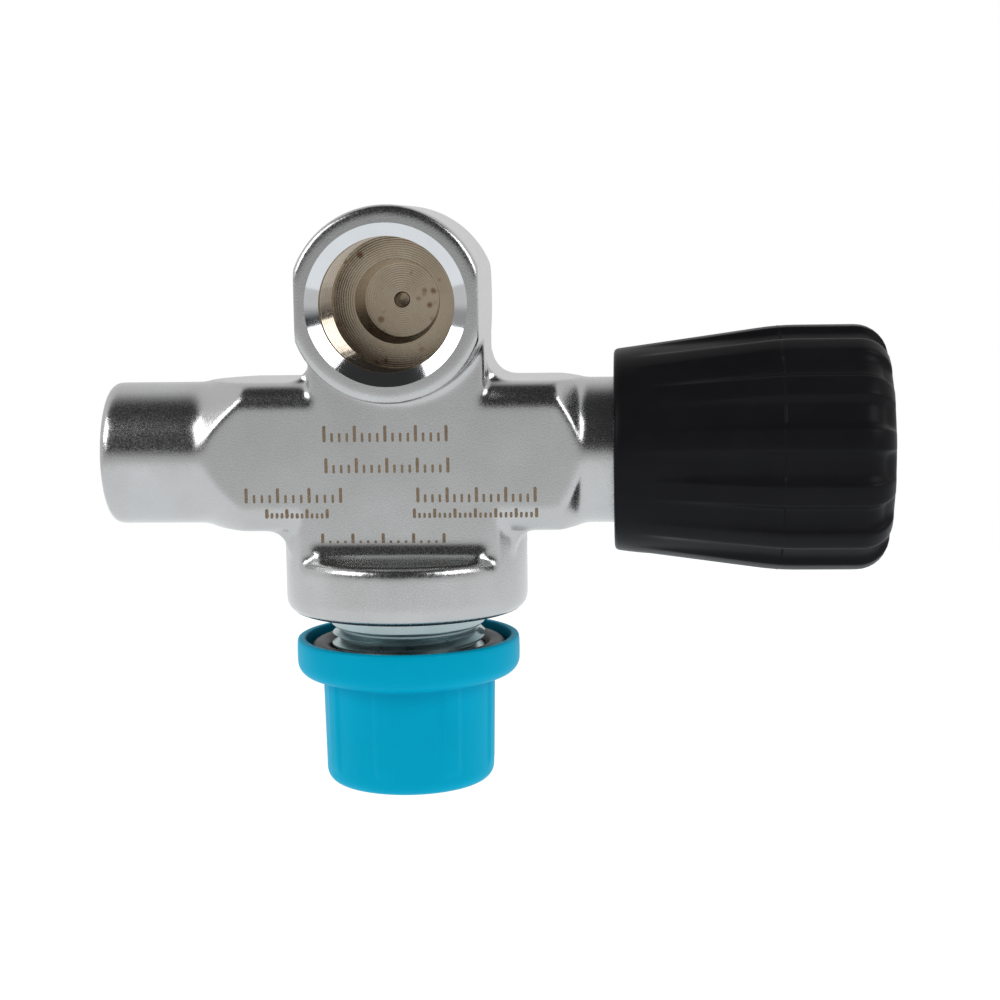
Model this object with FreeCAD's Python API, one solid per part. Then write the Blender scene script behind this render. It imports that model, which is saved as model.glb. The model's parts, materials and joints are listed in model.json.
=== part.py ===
import FreeCAD, Part
import math
import os

from FreeCAD import Vector

# Scuba cylinder valve, millimetres.  The origin is where the neck axis meets the
# seating face under the collar.  +Z points up the neck axis, +X out along the
# handwheel, and the regulator outlet opens towards -Y.

# ---- driving dimensions ----------------------------------------------------
branch_height = 25.6          # centre of the crosswise branches above the seat
outlet_height = 50.0          # centre of the regulator outlet above the seat
left_end = -47.7              # free end of the plugged side branch
right_end = 39.6              # end of the handwheel branch, inside the handwheel

left_branch_radius = 11.5
right_branch_radius = 11.72
block_half_depth = 12.0
block_half_height = 11.9
block_edge_radius = 4.0
collar_radius = 19.66
collar_height = 9.4
collar_edge_radius = 1.4
collar_blend_radius = 2.8     # concave blend from the column's flats to the collar's top

outlet_front = -23.23
outlet_outer_radius = 15.0
outlet_half_width = 13.95
outlet_thread_radius = 10.3   # crest radius of the G 5/8 internal thread
outlet_thread_depth = 16.6
outlet_chamfer_radius = 12.3  # outer edge of the chamfer at the outlet's mouth
outlet_chamfer_depth = 1.2
recess_mouth_radius = 6.72
recess_floor_radius = 5.95
recess_depth = 6.8
gas_hole_radius = 1.15

neck_radius = 12.5            # M25x2 external thread
shank_length = 2.6
neck_length = 26.7
dip_socket_radius = 4.0
neck_bore_radius = 2.5

running_gap = 0.08            # radial gap of a turning or screwed fit
thread_gap = 0.05             # radial gap of a thread that stays tight

seat_face = 5.0               # where the soft pad closes on the nozzle
seat_thread_radius = 7.0
bonnet_seat = 27.0            # floor of the gland nut's bore
bonnet_radius = 9.0
stem_radius = 4.0
stem_square = 5.5

knob_start = 33.9
knob_crest = 59.9             # where the handwheel reaches its full radius
knob_end = 77.2
knob_start_radius = 16.14
knob_radius = 19.74
knob_flutes = 14
knob_first_flute = 16.07      # turn from straight up to the first groove's middle, in degrees
knob_centre_radius = 14.6     # outside of the hard centre, inside of the grip

cap_top = -4.6
cap_bottom = -28.56
cap_floor = -27.0
cap_rim_radius = 18.21
cap_rim_bore = 16.74
cap_rim_height = 6.2
cap_body_radius = 14.04
cap_foot_radius = 13.76
cap_counterbore = -8.8
cap_ribs = 8

port_radius = 8.25
port_depth = 17.0

up = Vector(0, 0, 1)
along_x = Vector(1, 0, 0)
along_y = Vector(0, 1, 0)
branch_origin = Vector(0, 0, branch_height)
outlet_origin = Vector(0, 0, outlet_height)
neck_origin = Vector(0, 0, 0)


# ---- shapes that several pieces share --------------------------------------
def rounded_wire(corners):
    """Closed wire through (point, radius) corners; a radius above 0 rounds its corner."""
    spans = []
    for index, (point, radius) in enumerate(corners):
        before = corners[index - 1][0]
        after = corners[(index + 1) % len(corners)][0]
        if radius == 0:
            spans.append((point, None, point))
            continue
        to_before = (before - point).normalize()
        to_after = (after - point).normalize()
        half_angle = to_before.getAngle(to_after) / 2
        reach = radius / math.tan(half_angle)
        inward = (to_before + to_after).normalize()
        middle = point + inward * (radius / math.sin(half_angle) - radius)
        spans.append((point + to_before * reach, middle, point + to_after * reach))
    edges = []
    for index, (start, middle, end) in enumerate(spans):
        if middle is not None:
            edges.append(Part.Arc(start, middle, end).toShape())
        following = spans[(index + 1) % len(spans)][0]
        if (following - end).Length > 1e-6:
            edges.append(Part.LineSegment(end, following).toShape())
    return Part.Wire(edges)


def turned(profile, origin, axis):
    """Solid of revolution; the profile is (distance along the axis, radius[, rounding])."""
    outward = up if abs(axis.z) < 0.5 else along_x
    corners = []
    for station in profile:
        point = origin + axis * station[0] + outward * station[1]
        rounding = station[2] if len(station) > 2 else 0
        corners.append((point, rounding))
    return Part.Face(rounded_wire(corners)).revolve(origin, axis, 360)


def ring(start, end, inner, outer, origin, axis):
    """Plain washer or sleeve."""
    return turned([(start, inner), (end, inner), (end, outer), (start, outer)], origin, axis)


def rod(start, end, radius, origin, axis):
    """Plain cylinder along an axis, between two distances from its origin."""
    return Part.makeCylinder(radius, end - start, origin + axis * start, axis)


def o_ring(centre, ring_radius, section_radius, origin, axis):
    """Torus seal whose section is centred at one distance along the axis."""
    return Part.makeTorus(ring_radius, section_radius, origin + axis * centre, axis)


def hex_prism(start, end, across_flats, origin, axis):
    """Hexagonal bar with two flats level."""
    corner_radius = across_flats / math.sqrt(3)
    points = []
    for step in range(7):
        angle = math.radians(60 * step)
        side = along_y * math.cos(angle) + up * math.sin(angle)
        points.append(origin + axis * start + side * corner_radius)
    return Part.Face(Part.makePolygon(points)).extrude(axis * (end - start))


def square_prism(start, end, width, origin):
    """Square bar along X, centred on the branch axis."""
    corner = origin + Vector(start, -width / 2, -width / 2)
    return Part.makeBox(end - start, width, width, corner)


def slab(low, high):
    """Box between two opposite corners."""
    return Part.makeBox(high.x - low.x, high.y - low.y, high.z - low.z, low)


# ---- valve body ------------------------------------------------------------
def branch_block():
    """Crosswise forging: round branches that swell to a flat-fronted block."""
    swell = block_half_depth + block_edge_radius
    outer = turned(
        [
            (left_end, 0),
            (left_end, left_branch_radius, 1.6),
            (-31.8, left_branch_radius, 5.0),
            (-22.9, swell, 2.0),
            (24.2, swell, 2.0),
            (28.9, right_branch_radius, 2.0),
            (right_end, right_branch_radius, 0.8),
            (right_end, 0),
        ],
        branch_origin,
        along_x,
    )
    corners = []
    for y, z in ((-1, -1), (1, -1), (1, 1), (-1, 1)):
        point = Vector(left_end - 1, y * block_half_depth, branch_height + z * block_half_height)
        corners.append((point, block_edge_radius))
    section = Part.Face(rounded_wire(corners))
    return outer.common(section.extrude(along_x * (right_end - left_end + 2)))


def neck_column():
    """Flat-sided column from the collar up into the block."""
    round_column = rod(collar_height / 2, branch_height, collar_radius, neck_origin, up)
    reach = collar_radius + 1
    flats = slab(Vector(-reach, -block_half_depth, 0), Vector(reach, block_half_depth, branch_height))
    return round_column.common(flats)


def collar():
    """Round flange whose underside seats on the cylinder's mouth."""
    return turned(
        [
            (0, 0),
            (0, collar_radius, 2.2),
            (collar_height, collar_radius, collar_edge_radius),
            (collar_height, 0),
        ],
        neck_origin,
        up,
    )


def collar_blend(side):
    """Concave blend along X between one flat of the neck column and the collar's top."""
    wall = side * block_half_depth
    centre_y = wall + side * collar_blend_radius
    centre_z = collar_height + collar_blend_radius
    low_y = min(wall - side, centre_y)
    high_y = max(wall - side, centre_y)
    filler = slab(
        Vector(-collar_radius, low_y, collar_height - 1),
        Vector(collar_radius, high_y, centre_z),
    )
    hollow = Part.makeCylinder(
        collar_blend_radius,
        2 * collar_radius + 2,
        Vector(-collar_radius - 1, centre_y, centre_z),
        along_x,
    )
    top_radius = collar_radius - collar_edge_radius
    return filler.cut(hollow).common(rod(0, centre_z, top_radius, neck_origin, up))


def outlet_boss():
    """Round regulator boss with two side flats, rounded at its back."""
    barrel = turned(
        [
            (outlet_front, 0),
            (outlet_front, outlet_outer_radius, 0.9),
            (block_half_depth, outlet_outer_radius, 7.0),
            (block_half_depth, 0),
        ],
        outlet_origin,
        along_y,
    )
    reach = outlet_outer_radius + 1
    flats = slab(
        Vector(-outlet_half_width, outlet_front - 1, outlet_height - reach),
        Vector(outlet_half_width, block_half_depth + 1, outlet_height + reach),
    )
    return barrel.common(flats)


def boss_root():
    """Straight-sided stem of metal that carries the boss on the block."""
    corners = []
    for x, y, rounding in ((-1, -1, 1.2), (1, -1, 1.2), (1, 1, 7.0), (-1, 1, 7.0)):
        point = Vector(x * outlet_half_width, y * block_half_depth, branch_height)
        corners.append((point, rounding))
    height = outlet_height - branch_height
    return Part.Face(rounded_wire(corners)).extrude(up * height)


def root_fillet(side, radius, floor_height, wall_x, depth_end, turn):
    """Concave blend along Y between an upright side wall and a level face."""
    foot = Vector(side * wall_x, -depth_end, floor_height)
    corner_low = foot + Vector(-side * 1.0, 0, -turn * 1.0)
    block = Part.makePolygon(
        [
            corner_low,
            corner_low + Vector(side * (radius + 1.0), 0, 0),
            corner_low + Vector(side * (radius + 1.0), 0, turn * 1.0),
            corner_low + Vector(side * 1.0, 0, turn * (radius + 1.0)),
            corner_low + Vector(0, 0, turn * (radius + 1.0)),
            corner_low,
        ]
    )
    solid = Part.Face(block).extrude(along_y * (2 * depth_end))
    centre = foot + Vector(side * radius, -1, turn * radius)
    return solid.cut(Part.makeCylinder(radius, 2 * depth_end + 2, centre, along_y))


def neck_spigot():
    """Shank, thread run-out groove and threaded spigot below the collar."""
    groove_radius = neck_radius - 1.4
    groove_end = shank_length + 1.3
    return turned(
        [
            (1, 0),
            (1, neck_radius),
            (-shank_length, neck_radius),
            (-shank_length - 0.5, groove_radius),
            (-groove_end + 0.5, groove_radius),
            (-groove_end, neck_radius),
            (-neck_length + 1.2, neck_radius),
            (-neck_length, neck_radius - 1.2),
            (-neck_length, 0),
        ],
        neck_origin,
        up,
    )


def outlet_cut():
    """Outlet bore: chamfered mouth, thread, sealing recess and central gas hole."""
    thread_end = outlet_front + outlet_thread_depth
    recess_end = thread_end + recess_depth
    return turned(
        [
            (outlet_front - 1, 0),
            (outlet_front - 1, outlet_chamfer_radius),
            (outlet_front, outlet_chamfer_radius),
            (outlet_front + outlet_chamfer_depth, outlet_thread_radius),
            (thread_end, outlet_thread_radius),
            (thread_end, recess_mouth_radius),
            (recess_end, recess_floor_radius),
            (recess_end, gas_hole_radius),
            (recess_end + 4, gas_hole_radius),
            (recess_end + 4, 0),
        ],
        outlet_origin,
        along_y,
    )


def gas_passage_cut():
    """Slanting drilling from the back of the outlet hole down to the seat chamber."""
    top = Vector(0, outlet_front + outlet_thread_depth + recess_depth + 3.0, outlet_height)
    bottom = Vector(seat_face + 4.5, 0, branch_height + seat_thread_radius)
    run = bottom - top
    return Part.makeCylinder(gas_hole_radius, run.Length, top, run)


def spindle_cut():
    """Stepped bore in the right branch for the seat, the stem and the gland nut."""
    return turned(
        [
            (seat_face - 1.0, 2.9),
            (seat_face, 2.4),
            (seat_face, 1.5),
            (0, 1.5),
            (0, 0),
            (right_end + 1, 0),
            (right_end + 1, bonnet_radius + 1.0),
            (right_end - 1.0, bonnet_radius),
            (bonnet_seat, bonnet_radius),
            (bonnet_seat, seat_thread_radius),
            (seat_face + 8.0, seat_thread_radius),
            (seat_face + 7.0, seat_thread_radius + 0.9),
            (seat_face - 1.0, seat_thread_radius + 0.9),
        ],
        branch_origin,
        along_x,
    )


def side_port_cut():
    """Threaded side port in the left branch and its passage to the neck bore."""
    floor = left_end + port_depth
    return turned(
        [
            (left_end - 1, 0),
            (left_end - 1, port_radius + 1.9),
            (left_end + 0.9, port_radius),
            (floor, port_radius),
            (floor, 2.0),
            (0, 2.0),
            (0, 0),
        ],
        branch_origin,
        along_x,
    )


def neck_cut():
    """Dip tube socket in the spigot's end and the bore up to the branches."""
    return turned(
        [
            (-neck_length - 1, 0),
            (-neck_length - 1, dip_socket_radius + 1.6),
            (-neck_length + 0.6, dip_socket_radius),
            (-neck_length + 8.0, dip_socket_radius),
            (-neck_length + 9.5, neck_bore_radius),
            (branch_height, neck_bore_radius),
            (branch_height, 0),
        ],
        neck_origin,
        up,
    )


def valve_body():
    """One forging with all its drillings."""
    solid = branch_block().fuse(
        [neck_column(), collar(), outlet_boss(), boss_root(), neck_spigot()]
    )
    for side in (-1, 1):
        block_top = branch_height + block_half_height
        block_underside = branch_height - block_half_height
        blend_depth = block_half_depth - block_edge_radius + 0.6
        solid = solid.fuse(root_fillet(side, 4.0, block_top, outlet_half_width, blend_depth, 1))
        solid = solid.fuse(
            root_fillet(side, 3.2, block_underside, collar_radius - 1.4, blend_depth, -1)
        )
        solid = solid.fuse(collar_blend(side))
    solid = solid.removeSplitter()
    for cut in (outlet_cut(), gas_passage_cut(), spindle_cut(), side_port_cut(), neck_cut()):
        solid = solid.cut(cut)
    return solid.removeSplitter()


# ---- shut-off mechanism in the right branch --------------------------------
seat_length = 16.0
seat_left = seat_face + 1.2
stem_collar_start = bonnet_seat + 1.6
stem_collar_end = stem_collar_start + 2.0
gland_face = right_end + 0.2
gland_head = 5.6
stem_seal_positions = (33.6, 37.0)
stem_groove_depth = 1.3
stem_seal_section = 0.64
stem_end = 70.6
square_start = 46.2
square_end = 60.4


def seat_pad():
    """Soft sealing disc held in the end of the seat carrier."""
    return rod(seat_face + 0.02, seat_left + 1.4, 3.6, branch_origin, along_x)


def seat_carrier():
    """Threaded lower spindle; its slot takes the stem's tongue."""
    outer = turned(
        [
            (seat_left, 0),
            (seat_left, 5.2),
            (seat_left + 1.5, seat_thread_radius - running_gap),
            (seat_left + seat_length, seat_thread_radius - running_gap, 0.5),
            (seat_left + seat_length, 0),
        ],
        branch_origin,
        along_x,
    )
    pad_pocket = rod(seat_left - 1, seat_left + 1.4, 3.6, branch_origin, along_x)
    slot = slab(
        branch_origin + Vector(seat_left + 4.5, -5.2, -1.4),
        branch_origin + Vector(seat_left + seat_length + 1, 5.2, 1.4),
    )
    return outer.cut(pad_pocket).cut(slot)


def stem():
    """Upper spindle: tongue, collar, sealed shaft, square and threaded end."""
    tongue = slab(
        branch_origin + Vector(seat_left + 9.5, -4.7, -1.2),
        branch_origin + Vector(stem_collar_start + 0.5, 4.7, 1.2),
    )
    shaft_profile = [(stem_collar_start, 0), (stem_collar_start, 6.0), (stem_collar_end, 6.0)]
    shaft_profile.append((stem_collar_end, stem_radius))
    for centre in stem_seal_positions:
        shaft_profile.append((centre - 0.95, stem_radius))
        shaft_profile.append((centre - 0.95, stem_radius - stem_groove_depth))
        shaft_profile.append((centre + 0.95, stem_radius - stem_groove_depth))
        shaft_profile.append((centre + 0.95, stem_radius))
    shaft_profile.append((square_start, stem_radius))
    shaft_profile.append((square_start, 0))
    shaft = turned(shaft_profile, branch_origin, along_x)
    square = square_prism(square_start, square_end, stem_square, branch_origin)
    square = square.common(rod(square_start, square_end, stem_radius - 0.2, branch_origin, along_x))
    threaded_end = turned(
        [(square_end, 0), (square_end, 2.5), (stem_end - 0.6, 2.5), (stem_end, 1.9), (stem_end, 0)],
        branch_origin,
        along_x,
    )
    return shaft.fuse([tongue, square, threaded_end]).removeSplitter()


def stem_o_ring(centre):
    """Seal that stands between the floor of its groove in the stem and the gland nut's bore."""
    middle_radius = stem_radius - (stem_groove_depth - running_gap) / 2
    return o_ring(centre, middle_radius, stem_seal_section, branch_origin, along_x)


def stem_inner_o_ring():
    """Seal on the gas side."""
    return stem_o_ring(stem_seal_positions[0])


def stem_outer_o_ring():
    """Seal on the water side."""
    return stem_o_ring(stem_seal_positions[1])


def thrust_washer():
    """Low-friction washer between the stem's collar and the gland nut."""
    return ring(stem_collar_end + 0.02, stem_collar_end + 0.8, stem_radius + 0.2, 6.0, branch_origin, along_x)


def gland_nut():
    """Hexagon-headed nut that closes the branch and guides the stem."""
    washer_face = stem_collar_end + 0.82
    outer = turned(
        [
            (bonnet_seat + 0.05, 0),
            (bonnet_seat + 0.05, 7.35),
            (bonnet_seat + 1.7, 7.35),
            (bonnet_seat + 2.2, bonnet_radius - thread_gap),
            (gland_face, bonnet_radius - thread_gap),
            (gland_face, 0),
        ],
        branch_origin,
        along_x,
    )
    head = hex_prism(gland_face, gland_face + gland_head, 18.8, branch_origin, along_x)
    head_turning = turned(
        [
            (gland_face - 1, 0),
            (gland_face - 1, 10.9),
            (gland_face + gland_head - 0.9, 10.9),
            (gland_face + gland_head, 9.5),
            (gland_face + gland_head, 0),
        ],
        branch_origin,
        along_x,
    )
    bore = turned(
        [
            (bonnet_seat - 1, 0),
            (bonnet_seat - 1, 6.3),
            (washer_face, 6.3),
            (washer_face, stem_radius + running_gap),
            (gland_face + gland_head + 1, stem_radius + running_gap),
            (gland_face + gland_head + 1, 0),
        ],
        branch_origin,
        along_x,
    )
    return outer.fuse(head.common(head_turning)).cut(bore).removeSplitter()


def slip_washer():
    """Low-friction washer between the gland nut's head and the handwheel's hub."""
    start = gland_face + gland_head + 0.1
    return ring(start, hub_start - 0.1, stem_radius + running_gap, 7.2, branch_origin, along_x)


def gland_o_ring():
    """Seal between the gland nut's nose and the body."""
    return o_ring(bonnet_seat + 0.85, 8.15, 0.75, branch_origin, along_x)


# ---- handwheel -------------------------------------------------------------
hub_start = square_start + 0.6
hub_end = 58.4
nut_start = 66.2
nut_end = 70.0
knob_pocket_radius = 12.6
knob_recess_radius = 8.6


def knob_centre():
    """Hard moulded centre: sleeve, web and hub with a square hole."""
    outer = turned(
        [
            (knob_start + 2.2, 0),
            (knob_start + 2.2, knob_centre_radius),
            (knob_end - 4.2, knob_centre_radius, 0.8),
            (knob_end - 4.2, 0),
        ],
        branch_origin,
        along_x,
    )
    pocket = rod(knob_start + 1, hub_start, knob_pocket_radius, branch_origin, along_x)
    recess = rod(hub_end, knob_end, knob_recess_radius, branch_origin, along_x)
    square_hole = square_prism(hub_start - 1, hub_end + 1, stem_square + 0.1, branch_origin)
    return outer.cut(pocket).cut(recess).cut(square_hole)


def flute_tool(turn_angle):
    """Round-bottomed groove: level along the full radius, sloping along the taper."""
    tool_radius = 3.4
    floor_full = knob_radius - 1.15
    floor_start = knob_start_radius + 0.1
    slope_start = Vector(knob_start + 1.0, 0, floor_start + tool_radius)
    slope_end = Vector(knob_crest, 0, floor_full + tool_radius)
    run = slope_end - slope_start
    sloping = Part.makeCylinder(tool_radius, run.Length, branch_origin + slope_start, run)
    level = rod(knob_crest, knob_end + 2, tool_radius, branch_origin + up * slope_end.z, along_x)
    tool = sloping.fuse(level)
    tool.rotate(branch_origin, along_x, turn_angle)
    return tool


def knob_grip():
    """Soft fluted grip moulded over the hard centre."""
    outer = turned(
        [
            (knob_start, 0),
            (knob_start, knob_start_radius, 0.8),
            (knob_crest, knob_radius, 18.0),
            (knob_end, knob_radius, 5.2),
            (knob_end, 0),
        ],
        branch_origin,
        along_x,
    )
    bore = turned(
        [
            (knob_start - 1, 0),
            (knob_start - 1, knob_pocket_radius),
            (knob_start + 2.2, knob_pocket_radius),
            (knob_start + 2.2, knob_centre_radius),
            (knob_end - 4.2, knob_centre_radius),
            (knob_end - 4.2, knob_recess_radius + 0.4),
            (knob_end + 1, knob_recess_radius + 0.4),
            (knob_end + 1, 0),
        ],
        branch_origin,
        along_x,
    )
    tools = []
    for index in range(knob_flutes):
        tools.append(flute_tool(knob_first_flute + index * 360 / knob_flutes))
    return outer.cut(bore).cut(tools)


def knob_spring():
    """Coil that holds the handwheel back against the stem's shoulder."""
    wire_radius = 0.6
    coil_radius = 5.6
    start = hub_end + wire_radius + 0.02
    height = nut_start - 1.0 - wire_radius - 0.02 - start
    helix = Part.makeHelix(height / 4, height, coil_radius)
    section = Part.Wire(
        Part.Circle(Vector(coil_radius, 0, 0), Vector(0, -1, 0), wire_radius).toShape()
    )
    coil = Part.Wire(helix).makePipeShell([section], True, True)
    coil.rotate(Vector(0, 0, 0), along_y, 90)
    coil.translate(branch_origin + along_x * start)
    return coil


def spring_washer():
    """Flat washer between the coil and the nut."""
    return ring(nut_start - 1.0, nut_start, 2.6, 6.8, branch_origin, along_x)


def knob_nut():
    """Slotted round nut on the stem's threaded end."""
    nut = turned(
        [
            (nut_start, 2.5 + thread_gap),
            (nut_start, 5.2),
            (nut_end, 5.2, 0.5),
            (nut_end, 2.5 + thread_gap),
        ],
        branch_origin,
        along_x,
    )
    slot = slab(
        branch_origin + Vector(nut_end - 1.4, -6, -0.7),
        branch_origin + Vector(nut_end + 1, 6, 0.7),
    )
    return nut.cut(slot)


# ---- side port -------------------------------------------------------------
plug_head = left_end + 1.2
plug_end = plug_head + 11.8
socket_flats = 8.0
socket_depth = 6.5


def side_port_plug():
    """Blanking plug with a hexagon socket, screwed into the side port."""
    nose = plug_end + 1.6
    outer = turned(
        [
            (plug_head, 0),
            (plug_head, port_radius - thread_gap, 0.5),
            (plug_end, port_radius - thread_gap),
            (plug_end, port_radius - 1.9),
            (nose, port_radius - 1.9),
            (nose, port_radius - thread_gap),
            (nose + 1.0, port_radius - thread_gap),
            (nose + 1.4, port_radius - 0.8),
            (nose + 1.4, 0),
        ],
        branch_origin,
        along_x,
    )
    socket = hex_prism(plug_head - 1, plug_head + socket_depth, socket_flats, branch_origin, along_x)
    return outer.cut(socket)


def side_port_o_ring():
    """Seal in the plug's groove."""
    return o_ring(plug_end + 0.8, port_radius - 1.15, 0.72, branch_origin, along_x)


# ---- neck ------------------------------------------------------------------
def neck_o_ring():
    """Neck seal, stored on the floor of the cap's counterbore."""
    section_radius = 1.75
    ring_radius = neck_radius + running_gap + section_radius + 0.1
    return o_ring(cap_counterbore + section_radius + 0.02, ring_radius, section_radius, neck_origin, up)


def thread_cap():
    """Screw-on protector: flared rim, tapered cup and shallow grip pads."""
    outer = turned(
        [
            (cap_top, 0),
            (cap_top, cap_rim_radius, 0.6),
            (cap_top - cap_rim_height, cap_rim_radius, 2.4),
            (cap_top - cap_rim_height, cap_body_radius, 0.6),
            (cap_bottom, cap_foot_radius, 2.2),
            (cap_bottom, 0),
        ],
        neck_origin,
        up,
    )
    pad_top = cap_top - cap_rim_height + 1.0
    pad_bottom = cap_bottom + 3.2
    pad_ring = turned(
        [
            (pad_top, cap_foot_radius - 1),
            (pad_top, cap_body_radius + 0.28),
            (pad_bottom, cap_foot_radius + 0.28),
            (pad_bottom, cap_foot_radius - 1),
        ],
        neck_origin,
        up,
    )
    pad_width = 3.0
    pad_turn = 33.5
    for index in range(cap_ribs):
        pad = slab(
            Vector(-pad_width / 2, 0, cap_bottom),
            Vector(pad_width / 2, cap_rim_radius, cap_top),
        )
        pad.rotate(neck_origin, up, index * 360 / cap_ribs + pad_turn)
        outer = outer.fuse(pad_ring.common(pad))
    bore = turned(
        [
            (cap_top + 1, 0),
            (cap_top + 1, cap_rim_bore),
            (cap_counterbore, cap_rim_bore, 0.6),
            (cap_counterbore, neck_radius + running_gap),
            (cap_floor, neck_radius + running_gap),
            (cap_floor, 0),
        ],
        neck_origin,
        up,
    )
    return outer.cut(bore).removeSplitter()


pieces = {
    "valve_body": valve_body,
    "seat_pad": seat_pad,
    "seat_carrier": seat_carrier,
    "stem": stem,
    "stem_inner_o_ring": stem_inner_o_ring,
    "stem_outer_o_ring": stem_outer_o_ring,
    "thrust_washer": thrust_washer,
    "gland_nut": gland_nut,
    "slip_washer": slip_washer,
    "gland_o_ring": gland_o_ring,
    "knob_centre": knob_centre,
    "knob_grip": knob_grip,
    "knob_spring": knob_spring,
    "spring_washer": spring_washer,
    "knob_nut": knob_nut,
    "side_port_plug": side_port_plug,
    "side_port_o_ring": side_port_o_ring,
    "neck_o_ring": neck_o_ring,
    "thread_cap": thread_cap,
}

os.makedirs("parts", exist_ok=True)
for name, make in pieces.items():
    shape = make()
    volumes = [round(solid.Volume, 1) for solid in shape.Solids]
    print(name, "valid" if shape.isValid() else "NOT VALID", "volumes", volumes)
    shape.exportStep("parts/" + name + ".step")
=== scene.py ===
import json
import math

import bpy
from mathutils import Matrix, Vector


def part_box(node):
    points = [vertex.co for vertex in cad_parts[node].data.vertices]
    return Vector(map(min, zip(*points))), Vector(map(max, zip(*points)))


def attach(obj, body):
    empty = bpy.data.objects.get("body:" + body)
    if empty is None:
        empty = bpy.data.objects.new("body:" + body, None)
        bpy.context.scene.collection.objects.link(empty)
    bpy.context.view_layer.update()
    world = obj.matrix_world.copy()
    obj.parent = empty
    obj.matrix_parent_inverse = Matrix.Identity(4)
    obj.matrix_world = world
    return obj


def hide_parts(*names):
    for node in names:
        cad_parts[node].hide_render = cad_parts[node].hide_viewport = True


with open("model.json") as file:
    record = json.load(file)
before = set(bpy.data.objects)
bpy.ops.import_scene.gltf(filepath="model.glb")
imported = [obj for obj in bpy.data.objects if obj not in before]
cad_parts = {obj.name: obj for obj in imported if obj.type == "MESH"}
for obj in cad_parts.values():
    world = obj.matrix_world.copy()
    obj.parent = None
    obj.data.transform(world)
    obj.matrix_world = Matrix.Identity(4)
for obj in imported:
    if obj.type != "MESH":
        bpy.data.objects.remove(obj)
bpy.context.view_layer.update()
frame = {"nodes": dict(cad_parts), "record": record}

# ---- camera ------------------------------------------------------------------
# A long studio lens a third of a metre away, a little to the handwheel's side of the
# outlet and a little above it.
millimetre = 0.001
stem_low, stem_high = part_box("stem")
branch_height = (stem_low.z + stem_high.z) / 2
view_azimuth = math.radians(3.678)
view_height = math.radians(7.513)
view_roll = math.radians(-0.794)
view_distance = 336.2 * millimetre
aim_right = 15.289            # from the branch's middle to the point the lens looks at
aim_above = -8.210
back = Vector((
    math.sin(view_azimuth) * math.cos(view_height),
    -math.cos(view_azimuth) * math.cos(view_height),
    math.sin(view_height),
))
right = (-back).cross(Vector((0, 0, 1))).normalized()
above = right.cross(-back)
aim = (right * aim_right + above * aim_above) * millimetre + Vector((0, 0, branch_height))
rolled_right = right * math.cos(view_roll) + above * math.sin(view_roll)
rolled_above = above * math.cos(view_roll) - right * math.sin(view_roll)
bpy.ops.object.camera_add()
camera = bpy.context.object
camera.name = "studio_camera"
camera.data.lens = 74.6
camera.data.sensor_width = 36.0
camera.data.clip_start = 0.01
camera.matrix_world = Matrix.Translation(aim + back * view_distance) @ Matrix((
    (rolled_right.x, rolled_above.x, back.x, 0),
    (rolled_right.y, rolled_above.y, back.y, 0),
    (rolled_right.z, rolled_above.z, back.z, 0),
    (0, 0, 0, 1),
))
bpy.context.scene.camera = camera

# ---- valve body ----------------------------------------------------------------
# One hot forging of brass, blasted with grit and plated with satin chrome, so each edge
# that no tool has cut is soft.  Its ports are then faced, bored and threaded in a lathe.
across = Vector((1, 0, 0))
inwards = Vector((0, 1, 0))
up = Vector((0, 0, 1))
body_low, body_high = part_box("valve_body")
mounts = {mount["name"]: mount for mount in frame["record"]["mounts"]}
outlet_height = mounts["outlet_thread"]["pos_m"][2]
branch_centre = Vector((0, 0, branch_height))
outlet_centre = Vector((0, 0, outlet_height))
neck_centre = Vector((0, 0, 0))
left_end = body_low.x / millimetre
right_end = body_high.x / millimetre
outlet_front = body_low.y / millimetre
neck_end = body_low.z / millimetre
forging_voxel = 0.42 * millimetre
forging_softness = 10
seat_facing = 0.25                # the collar's turned underside is made with the neck
outlet_thread_radius = 10.3
outlet_major_radius = 11.46
chamfer_radius = 12.3
chamfer_depth = 1.2
outlet_pitch = 1.814
outlet_turns = 7.0
outlet_groove_start = outlet_front + 1.3
thread_flank = 0.8            # width of each flank along the axis
thread_root = 0.15
outlet_thread_end = outlet_front + 16.6
recess_end = outlet_thread_end + 6.8
recess_mouth_radius = 6.72
recess_floor_radius = 5.95
gas_hole_radius = 1.15
gas_hole_depth = 7.5
steps_per_turn = 56           # of every thread's helix
crisp_edge = math.radians(26)  # edges sharper than this aren't shaded smooth


def select_only(piece):
    """Makes one piece the only one selected."""
    bpy.ops.object.select_all(action="DESELECT")
    piece.select_set(True)
    bpy.context.view_layer.objects.active = piece


def turned(name, stations, centre, along, steps=96):
    """A shape turned on a lathe: each station is a distance along the axis and a radius, in mm."""
    out = across if along == up else up
    places = [centre + (along * distance + out * radius) * millimetre for distance, radius in stations]
    bpy.ops.object.select_all(action="DESELECT")
    bpy.ops.mesh.primitive_plane_add(size=millimetre)
    piece = bpy.context.object
    piece.name = name
    bpy.ops.object.mode_set(mode="EDIT")
    bpy.ops.mesh.merge(type="CENTER")
    bpy.ops.transform.translate(value=places[0])
    for before, place in zip(places, places[1:]):
        bpy.ops.mesh.extrude_region_move(TRANSFORM_OT_translate={"value": place - before})
    bpy.ops.mesh.select_all(action="SELECT")
    bpy.ops.mesh.spin(steps=steps, angle=2 * math.pi, center=centre, axis=along)
    bpy.ops.mesh.select_all(action="SELECT")
    bpy.ops.mesh.remove_doubles(threshold=0.001 * millimetre)
    bpy.ops.mesh.normals_make_consistent(inside=False)
    bpy.ops.object.mode_set(mode="OBJECT")
    return piece


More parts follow.
